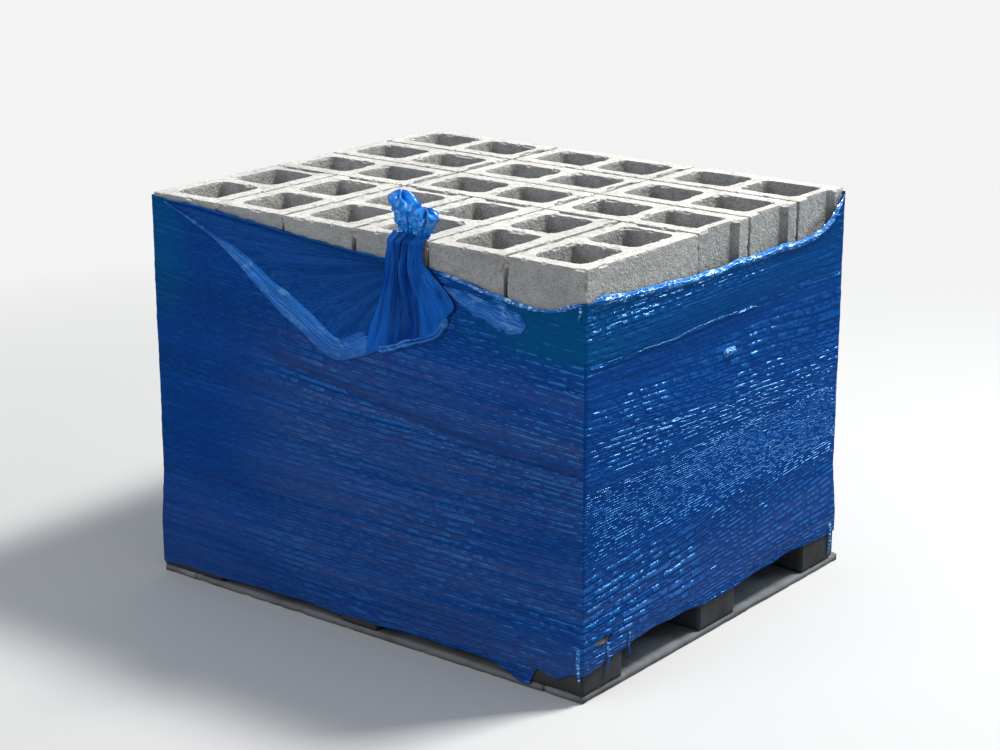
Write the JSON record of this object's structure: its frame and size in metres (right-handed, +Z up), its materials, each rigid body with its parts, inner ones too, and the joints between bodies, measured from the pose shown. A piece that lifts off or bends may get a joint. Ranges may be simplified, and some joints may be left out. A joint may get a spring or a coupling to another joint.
{
  "type": "pallet of concrete blocks",
  "caption": "Two-core hollow concrete blocks stacked in bonded courses on a timber block pallet and wrapped in blue stretch film with a gathered tail",
  "frame": {"origin": "on the floor under the middle of the pallet", "axes": "+X along the pallet's long side, +Y along its short side, away from the side with the film's tail; +Z up"},
  "size_m": [1.223, 1.0594, 1.007],
  "materials": {
    "concrete": "rough dry-cast concrete, paler on the tops",
    "timber": "rough sawn, weathered and dirty",
    "film": "translucent blue stretch film with fine ripples"
  },
  "bodies": {
    "root": {"bottom_board_1": "timber", "bottom_board_2": "timber", "bottom_board_3": "timber", "bottom_end_board_1": "timber", "bottom_end_board_2": "timber", "course_1": "concrete", "course_2": "concrete", "course_3": "concrete", "deck_board_1": "timber", "deck_board_2": "timber", "deck_board_3": "timber", "deck_board_4": "timber", "deck_board_5": "timber", "deck_board_6": "timber", "deck_board_7": "timber", "foot_1_1": "timber", "foot_1_2": "timber", "foot_1_3": "timber", "foot_2_1": "timber", "foot_2_2": "timber", "foot_2_3": "timber", "foot_3_1": "timber", "foot_3_2": "timber", "foot_3_3": "timber", "stretch_film": "film", "stringer_board_1": "timber", "stringer_board_2": "timber", "stringer_board_3": "timber", "top_block_01": "concrete", "top_block_02": "concrete", "top_block_03": "concrete", "top_block_04": "concrete", "top_block_05": "concrete", "top_block_06": "concrete", "top_block_07": "concrete", "top_block_08": "concrete", "top_block_09": "concrete", "top_block_10": "concrete", "top_block_11": "concrete", "top_block_12": "concrete", "top_block_13": "concrete", "top_block_14": "concrete", "top_block_15": "concrete"}
  },
  "joints": []
}
